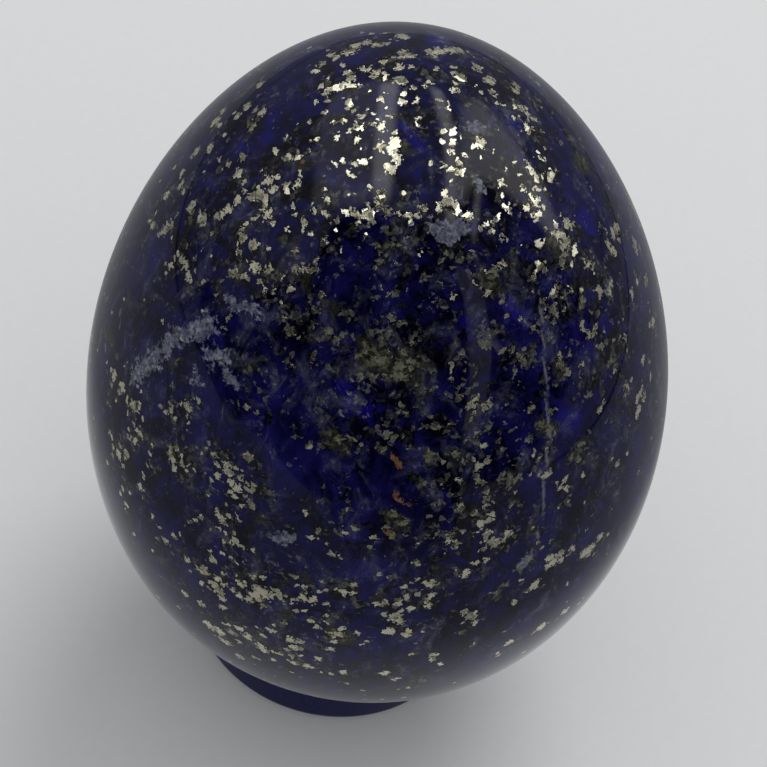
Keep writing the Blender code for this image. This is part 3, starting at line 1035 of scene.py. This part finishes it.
def stone_material(stone):
    """Polished lapis lazuli: clouded blues, calcite, olive and rust, and flush pyrite."""
    material, tree, shader = new_material("lapis_lazuli")
    place = millimetres(tree)
    mottle = use_group(tree, mottle_group(), place=place)
    crystal_cells = grain_cells_group()
    cells = use_group(tree, crystal_cells, place=place, cell_size=0.16, angularity=0.72, raggedness=1.0)
    specks = use_group(tree, crystal_cells, place=place, cell_size=0.36, angularity=0.6, raggedness=0.6)
    facets = use_group(tree, crystal_cells, place=place, cell_size=0.6, angularity=0.6, raggedness=0.6)
    speck_tint = channel(tree, specks.outputs["Random Colour"], 2)
    cell_tint = channel(tree, cells.outputs["Random Colour"], 1)
    fine = smooth_step(tree, mottle.outputs["Fine"], 0.35, 0.70)

    metal_depth, dull_depth = marked_grains(tree, cells)
    metal = smooth_step(tree, metal_depth, -0.004, 0.020)
    rim = smooth_step(tree, metal_depth, -0.13, -0.01)
    dull = smooth_step(tree, dull_depth, -0.03, 0.05)

    # Fine specks that no mark names, thicker where the marked grains crowd
    density = attribute(tree, "speckle").outputs["Fac"]
    clumps = noise(tree, place, 0.55, 3.0, 0.65)
    chance = maths(tree, "MULTIPLY", density, smooth_step(tree, clumps, 0.45, 0.72))
    speck_random = specks.outputs["Random"]
    bright_speck = maths(tree, "LESS_THAN", speck_random, maths(tree, "MULTIPLY", chance, 0.08))
    pale_speck = maths(tree, "LESS_THAN", speck_random, maths(tree, "MULTIPLY", chance, 0.30))
    metal = maths(tree, "MAXIMUM", metal, bright_speck)

    # Angular crystals, gathered where the clumps are
    gathered = smooth_step(tree, clumps, 0.44, 0.60, 0.10, 1.0)
    crystal = maths(tree, "MULTIPLY", smooth_step(tree, speck_tint, 0.52, 0.95), gathered)
    crystal = maths(tree, "MULTIPLY", crystal, maths(tree, "MULTIPLY_ADD", cell_tint, 0.6, 0.4))

    colour = clouded_blue(tree, stone, mottle, fine)
    colour = dark_matrix(tree, colour, place, density, crystal)
    colour, calcite, olive, crack = veins_and_spots(tree, stone, colour, mottle, fine, crystal, specks)

    # Grains over the body colour
    dull_tone = blend_colours(tree, cell_tint, (0.035, 0.038, 0.030, 1.0), (0.19, 0.19, 0.135, 1.0))
    speck_tone = blend_colours(tree, cell_tint, (0.02, 0.02, 0.024, 1.0), (0.13, 0.13, 0.12, 1.0))
    colour = lay_over(tree, colour, pale_speck, 0.7, speck_tone)
    colour = lay_over(tree, colour, rim, 0.8, (0.0015, 0.0015, 0.003, 1.0))
    colour = lay_over(tree, colour, dull, 0.8, dull_tone)
    facet_tone = maths(tree, "MULTIPLY_ADD", cell_tint, 0.5, facets.outputs["Random"])
    facet_tone = smooth_step(tree, facet_tone, 0.1, 0.9)
    gold = blend_colours(tree, facet_tone, (0.30, 0.285, 0.19, 1.0), rgba(stone.pyrite))
    colour = blend_colours(tree, metal, colour, gold)

    polish = use_group(
        tree, shared_group("Polish Wear", polish_group), place=place, base_roughness=0.055, wear=0.05
    )
    softer = maths(tree, "MAXIMUM", olive, calcite)
    stone_rough = maths(tree, "MULTIPLY_ADD", softer, 0.05, polish.outputs["Roughness"])
    metal_rough = maths(tree, "MULTIPLY_ADD", cell_tint, 0.14, 0.20)
    roughness = add_node(
        tree, "ShaderNodeMix", {0: metal, 2: stone_rough, 3: metal_rough}, data_type="FLOAT"
    ).outputs[0]
    bump = stone_normal(tree, metal, crack, polish.outputs["Relief"], facets, cell_tint)

    tree.links.new(colour, shader.inputs["Base Color"])
    tree.links.new(metal, shader.inputs["Metallic"])
    tree.links.new(roughness, shader.inputs["Roughness"])
    tree.links.new(bump, shader.inputs["Normal"])
    shader.inputs["Specular IOR Level"].default_value = 0.27
    return material


def ring_material(ring):
    """Moulded navy plastic, glossy, with light handling wear."""
    material, tree, shader = new_material("ring_plastic")
    place = millimetres(tree)
    polish = use_group(
        tree, shared_group("Polish Wear", polish_group), place=place, base_roughness=0.16, wear=0.14
    )
    clouds = smooth_step(tree, noise(tree, place, 0.35, 4.0, 0.6), 0.35, 0.7)
    darker = tuple(0.7 * part for part in ring.navy)
    colour = blend_colours(tree, clouds, rgba(darker), rgba(ring.navy))
    dust = smooth_step(tree, noise(tree, place, 5.5, 2.0, 0.5), 0.70, 0.76)
    colour = lay_over(tree, colour, dust, 0.35, (0.10, 0.10, 0.12, 1.0))
    bump = add_node(
        tree, "ShaderNodeBump", {"Strength": 0.25, "Distance": 0.00002, "Height": polish.outputs["Relief"]}
    ).outputs[0]
    tree.links.new(colour, shader.inputs["Base Color"])
    tree.links.new(polish.outputs["Roughness"], shader.inputs["Roughness"])
    tree.links.new(bump, shader.inputs["Normal"])
    shader.inputs["Specular IOR Level"].default_value = 0.28
    return material


class LAPIS_OT_stone(bpy.types.Operator):
    """Turn the egg, lay its minerals on and give it the polished stone"""

    bl_idname = "lapis.stone"
    bl_label = "Lapis Egg"
    bl_options = {"REGISTER", "UNDO"}

    def execute(self, context):
        egg, stone = context.scene.lapis_egg, context.scene.lapis_stone
        outline = [egg_point(egg, step) for step in np.linspace(-math.pi / 2, math.pi / 2, egg.bands + 1)]
        outline[0] = (0.0, outline[0][1])
        outline[-1] = (0.0, outline[-1][1])
        middle = egg_centre(egg)
        piece = turned_piece("lapis_stone", outline, egg.segments)
        settle(piece, middle, egg.lean)
        view = View(context.scene.lapis_stage, middle)
        caster = Caster(piece, view, middle)
        draw = random.Random(DRAW_SEED)
        grains = seen_grains(caster) + hidden_grains(caster, stone.hidden_clusters, draw)
        mark_grains(piece, grains)

        points = np.empty(len(piece.data.vertices) * 3)
        piece.data.vertices.foreach_get("co", points)
        points = points.reshape(-1, 3)
        for name, (strokes, count, width, steps, softness) in MINERALS.items():
            runs = stroke_points(caster, strokes) + hidden_strokes(caster, count, width, steps, draw)
            store(piece, name, "FLOAT", "POINT", stroke_field(points, runs, softness))
        store(piece, "speckle", "FLOAT", "POINT", self.speckle(points, grains))

        piece.data.materials.append(stone_material(stone))
        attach(piece, "root")
        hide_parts("lapis_egg")
        return {"FINISHED"}

    def speckle(self, points, grains):
        """Fine specks are thicker round the marked grains."""
        places = np.array([place for place, _, _ in grains])
        crowd = np.zeros(len(points))
        for place in places:
            gap = np.linalg.norm(points - place, axis=1)
            crowd += np.exp(-((gap / CROWD_REACH) ** 2))
        return 0.25 + 0.75 * np.clip(crowd / 5.0, 0.0, 1.0)


def ring_outline(ring):
    """Radii and heights round the ring's wall: flat foot, softened outer edge, rounded lip."""
    lip = ring.wall / 2
    lip_radius = ring.foot_radius - ring.draft - lip
    lip_height = ring.height - lip
    foot_middle = ring.foot_radius - ring.foot_rounding
    outline = [(lip_radius - lip, 0.0)]
    for turn in np.linspace(-math.pi / 2, 0, 9):
        outline.append((
            foot_middle + ring.foot_rounding * math.cos(turn),
            ring.foot_rounding + ring.foot_rounding * math.sin(turn),
        ))
    for turn in np.linspace(0, math.pi, 25):
        outline.append((lip_radius + lip * math.cos(turn), lip_height + lip * math.sin(turn)))
    return outline


class LAPIS_OT_ring(bpy.types.Operator):
    """Turn the ring stand and give it its navy plastic"""

    bl_idname = "lapis.ring"
    bl_label = "Ring Stand"
    bl_options = {"REGISTER", "UNDO"}

    def execute(self, context):
        ring = context.scene.lapis_ring
        low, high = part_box("ring_stand")
        piece = turned_piece("ring_stand_piece", ring_outline(ring), ring.segments, closed=True)
        settle(piece, Vector(((low[0] + high[0]) / 2, (low[1] + high[1]) / 2, 0.0)))
        piece.data.materials.append(ring_material(ring))
        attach(piece, "root")
        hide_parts("ring_stand")
        return {"FINISHED"}


def box_mask(tree, value, low, high, soft):
    """One inside two limits, falling smoothly to nothing outside them."""
    rising = smooth_step(tree, value, low - soft, low + soft)
    falling = smooth_step(tree, value, high - soft, high + soft, 1.0, 0.0)
    return maths(tree, "MULTIPLY", rising, falling)


def paper_material(stage):
    """Pale sheet; the stone mirrors it with edges at the left, at the right and in front. Mirrored rays see
    painted shade in place of its own colour: pale near the egg, darker further out, darker still past its
    edges.
    """
    material, tree, shader = new_material("pale_paper")
    place = millimetres(tree)
    parts = add_node(tree, "ShaderNodeSeparateXYZ", {0: place})
    x, y = parts.outputs["X"], parts.outputs["Y"]
    inside = maths(tree, "MULTIPLY", box_mask(tree, x, *SHEET_X, 1.5), box_mask(tree, y, *SHEET_Y, 1.5))
    past_gap = maths(tree, "SUBTRACT", 1.0, box_mask(tree, x, *GAP_X, 1.5))
    beside = maths(tree, "MULTIPLY", past_gap, smooth_step(tree, y, -150.0, -90.0))
    fibre = smooth_step(tree, noise(tree, place, 0.9, 4.0, 0.6), 0.3, 0.7)
    pale = tuple(0.985 * part for part in stage.paper)
    colour = blend_colours(tree, fibre, rgba(pale), rgba(stage.paper))
    # Painted shade that only mirrored rays see: dark past the sheet's edges, and the paper darker away from
    # the egg
    table = blend_colours(tree, beside, (0.004, 0.004, 0.006, 1.0), (0.20, 0.20, 0.21, 1.0))
    falling = smooth_step(tree, x, -50.0, 110.0)
    far_paper_painted_shade = blend_colours(tree, falling, (0.30, 0.30, 0.31, 1.0), (0.28, 0.28, 0.30, 1.0))
    span = vector_maths(tree, "LENGTH", place).outputs["Value"]
    distance = smooth_step(tree, span, 21.0, 55.0)
    paper_painted_shade = blend_colours(tree, distance, (0.82, 0.82, 0.82, 1.0), far_paper_painted_shade)
    mirrored = blend_colours(tree, inside, table, paper_painted_shade)
    # Mirrored rays get the painted shade, other rays the paper's own colour
    glossy = add_node(tree, "ShaderNodeLightPath").outputs["Is Glossy Ray"]
    colour = blend_colours(tree, glossy, colour, mirrored)
    tree.links.new(colour, shader.inputs["Base Color"])
    shader.inputs["Roughness"].default_value = 0.9
    shader.inputs["Specular IOR Level"].default_value = 0.0
    return material


def room_world(stage):
    """Even light for the floor, and for mirrored rays the ceiling strips and dark room."""
    world = bpy.data.worlds.new("studio_room")
    world.use_nodes = True
    tree = world.node_tree
    tree.nodes.clear()
    direction = add_node(tree, "ShaderNodeTexCoord").outputs["Generated"]
    parts = add_node(tree, "ShaderNodeSeparateXYZ", {0: direction})
    x, y, z = parts.outputs
    high = maths(tree, "MAXIMUM", z, 0.02)
    u = maths(tree, "DIVIDE", x, high)
    v = maths(tree, "DIVIDE", y, high)

    strips = None
    for across, slant, half, level in CEILING_STRIPS:
        shifted = maths(tree, "MULTIPLY_ADD", v, slant, u)
        mask = box_mask(tree, shifted, across - half, across + half, 0.055)
        mask = maths(tree, "MULTIPLY", mask, box_mask(tree, v, -0.56, 0.75, 0.10))
        lit = maths(tree, "MULTIPLY", mask, level)
        strips = lit if strips is None else maths(tree, "MAXIMUM", strips, lit)

    # Paler ceiling to both sides of the first strips
    left_deep = box_mask(tree, v, -0.7, 0.85, 0.15)
    left = maths(tree, "MULTIPLY", box_mask(tree, u, -1.15, -0.34, 0.12), left_deep)
    right_deep = box_mask(tree, v, -1.3, 0.9, 0.2)
    right = maths(tree, "MULTIPLY", box_mask(tree, u, 0.42, 3.2, 0.15), right_deep)
    glow = maths(tree, "MULTIPLY_ADD", right, 1.9, left)

    # The room's walls, dark on the side that the camera stands on
    wall = smooth_step(tree, z, 0.0, 0.35, 0.20, 0.30)
    towards = maths(tree, "MULTIPLY", y, -1.0)
    shade_line = maths(tree, "MULTIPLY_ADD", x, 0.55, towards)
    dark = smooth_step(tree, shade_line, 0.28, 0.40)
    dark = maths(tree, "MULTIPLY", dark, smooth_step(tree, z, 0.80, 0.86, 1.0, 0.0))
    room = maths(tree, "MAXIMUM", wall, glow)
    room = maths(tree, "MULTIPLY", room, maths(tree, "MULTIPLY_ADD", dark, -0.97, 1.0))
    room = maths(tree, "MAXIMUM", room, strips)
    mirrored = add_node(
        tree, "ShaderNodeCombineColor",
        {0: room, 1: room, 2: maths(tree, "MULTIPLY", room, 1.03)},
    ).outputs[0]
    mirror_background = add_node(tree, "ShaderNodeBackground", {"Color": mirrored})
    even = add_node(
        tree, "ShaderNodeBackground", {"Color": (0.97, 0.985, 1.0, 1.0), "Strength": stage.room_light}
    )
    path = add_node(tree, "ShaderNodeLightPath")
    chosen = add_node(
        tree, "ShaderNodeMixShader",
        {0: path.outputs["Is Glossy Ray"], 1: even.outputs[0], 2: mirror_background.outputs[0]},
    )
    output = tree.nodes.new("ShaderNodeOutputWorld")
    tree.links.new(chosen.outputs[0], output.inputs["Surface"])
    return world


# Painted reflections, cards that only mirrored rays see: near_shade a dark one, the other a pale one. Each
# has its brightness, whether it fades downwards, and its outline in pixels
MIRRORED = {
    "near_shade": (
        0.004, True,
        ((213, 320), (267, 293), (313, 267), (320, 247), (325, 235), (345, 218), (380, 220), (433, 220),
         (453, 267), (463, 300), (468, 373), (462, 430), (461, 490), (454, 540), (432, 582), (398, 600),
         (366, 582), (346, 545), (330, 505), (267, 443), (227, 413), (207, 365)),
    ),
    "painted_reflection_band": (
        0.42, False,
        ((456, 262), (470, 272), (483, 300), (491, 340), (491, 375), (484, 410), (472, 450), (462, 450),
         (468, 410), (470, 373), (465, 320), (458, 290)),
    ),
}


def card_material(name, level, lowest, rise):
    """Even glow that fades in above a card's lowest edge."""
    material = bpy.data.materials.new(name)
    material.use_nodes = True
    tree = material.node_tree
    tree.nodes.clear()
    glow = add_node(tree, "ShaderNodeEmission", {"Color": (level, level, level * 1.03, 1.0)})
    clear = tree.nodes.new("ShaderNodeBsdfTransparent")
    place = add_node(tree, "ShaderNodeTexCoord").outputs["Object"]
    height = add_node(tree, "ShaderNodeSeparateXYZ", {0: place}).outputs["Z"]
    cover = smooth_step(tree, height, lowest, lowest + rise)
    shown = add_node(tree, "ShaderNodeMixShader", {0: cover, 1: clear.outputs[0], 2: glow.outputs[0]})
    output = tree.nodes.new("ShaderNodeOutputMaterial")
    tree.links.new(shown.outputs[0], output.inputs["Surface"])
    return material


def mirror_card(name, level, fades, outline, caster):
    """A painted reflection: a card that only mirrored rays meet, cut so that the stone shows it in its
    outline.
    """
    hits = [caster.hit(x, y) for x, y in outline]
    rays = []
    for place, normal in hits:
        sight = (place - caster.view.eye).normalized()
        rays.append(sight - 2 * sight.dot(normal) * normal)
    drops = [(place.z - 0.002) / -ray.z for (place, _), ray in zip(hits, rays) if ray.z < 0]
    reach = min([0.5, *drops])
    deselect_all()
    bpy.ops.mesh.primitive_circle_add(vertices=len(outline), radius=0.01, fill_type="NGON")
    card = bpy.context.object
    card.name = name
    for vertex, (place, _), ray in zip(card.data.vertices, hits, rays):
        vertex.co = place + ray * reach
    heights = sorted(vertex.co.z for vertex in card.data.vertices)
    rise = (heights[-1] - heights[0]) * (0.36 if fades else 0.02)
    card.data.materials.append(card_material(name, level, heights[0], rise))
    card.visible_camera = False
    card.visible_diffuse = False
    card.visible_shadow = False
    card.visible_transmission = False
    card.visible_volume_scatter = False
    return card


def lay_floor(stage):
    """The pale sheet under everything."""
    deselect_all()
    bpy.ops.mesh.primitive_plane_add(size=4.0)
    floor = bpy.context.object
    floor.name = "floor"
    floor.data.materials.append(paper_material(stage))
    return floor


def hang_window(stage):
    """The soft light, turned to the middle of the floor and not mirrored itself."""
    deselect_all()
    bpy.ops.object.light_add(type="AREA", location=tuple(stage.window_place))
    window = bpy.context.object
    window.name = "window_light"
    window.data.shape = "DISK"
    window.data.size = stage.window_size
    window.data.energy = stage.window_power
    window.rotation_mode = "QUATERNION"
    window.rotation_quaternion = (-window.location).to_track_quat("-Z", "Y")
    window.visible_glossy = False
    return window


def stand_camera(stage, view):
    """The photograph's camera, with the shift that puts the egg where the photograph has it."""
    deselect_all()
    bpy.ops.object.camera_add()
    camera = bpy.context.object
    camera.name = "photo_camera"
    camera.matrix_world = view.matrix()
    camera.data.sensor_width = SENSOR * 1000
    camera.data.lens = stage.lens
    camera.data.shift_x = (PHOTO_SIDE / 2 - stage.aim_x) / PHOTO_SIDE
    camera.data.shift_y = (stage.aim_y - PHOTO_SIDE / 2) / PHOTO_SIDE
    camera.data.clip_start = 0.005
    camera.data.clip_end = 20.0
    return camera


class LAPIS_OT_stage(bpy.types.Operator):
    """Set the camera of the photograph, the pale floor and the soft light"""

    bl_idname = "lapis.stage"
    bl_label = "Stage"
    bl_options = {"REGISTER", "UNDO"}

    def execute(self, context):
        scene = context.scene
        stage = scene.lapis_stage
        stone = scene.objects.get("lapis_stone")
        if stone is None:
            raise RuntimeError("the stone is made before its stage")
        middle = egg_centre(scene.lapis_egg)
        view = View(stage, middle)
        caster = Caster(stone, view, middle)
        cards = [mirror_card(name, *drawn, caster) for name, drawn in MIRRORED.items()]
        floor = lay_floor(stage)
        scene.world = room_world(stage)
        window = hang_window(stage)
        camera = stand_camera(stage, view)
        scene.camera = camera
        scene.view_settings.view_transform = "Standard"
        return {"FINISHED"}


class LAPIS_PT_panel(bpy.types.Panel):
    """Sidebar panel with the builder's steps and sizes"""

    bl_idname = "LAPIS_PT_panel"
    bl_label = "Lapis Egg"
    bl_space_type = "VIEW_3D"
    bl_region_type = "UI"
    bl_category = "Lapis"

    def draw(self, context):
        scene = context.scene
        for operator, settings in (
            ("lapis.stone", (scene.lapis_egg, scene.lapis_stone)),
            ("lapis.ring", (scene.lapis_ring,)),
            ("lapis.stage", (scene.lapis_stage,)),
        ):
            column = self.layout.column()
            column.operator(operator)
            for group in settings:
                for name in group.bl_rna.properties.keys():
                    if name not in ("rna_type", "name"):
                        column.prop(group, name)


SETTINGS = {
    "lapis_egg": EggSettings,
    "lapis_stone": StoneSettings,
    "lapis_ring": RingSettings,
    "lapis_stage": StageSettings,
}
CLASSES = (*SETTINGS.values(), LAPIS_OT_stone, LAPIS_OT_ring, LAPIS_OT_stage, LAPIS_PT_panel)


def register():
    for item in CLASSES:
        bpy.utils.register_class(item)
    for name, settings in SETTINGS.items():
        setattr(bpy.types.Scene, name, bpy.props.PointerProperty(type=settings))


def unregister():
    for name in SETTINGS:
        delattr(bpy.types.Scene, name)
    for item in reversed(CLASSES):
        bpy.utils.unregister_class(item)


def main():
    register()
    bpy.ops.lapis.stone()
    bpy.ops.lapis.ring()
    bpy.ops.lapis.stage()


if __name__ == "__main__":
    main()
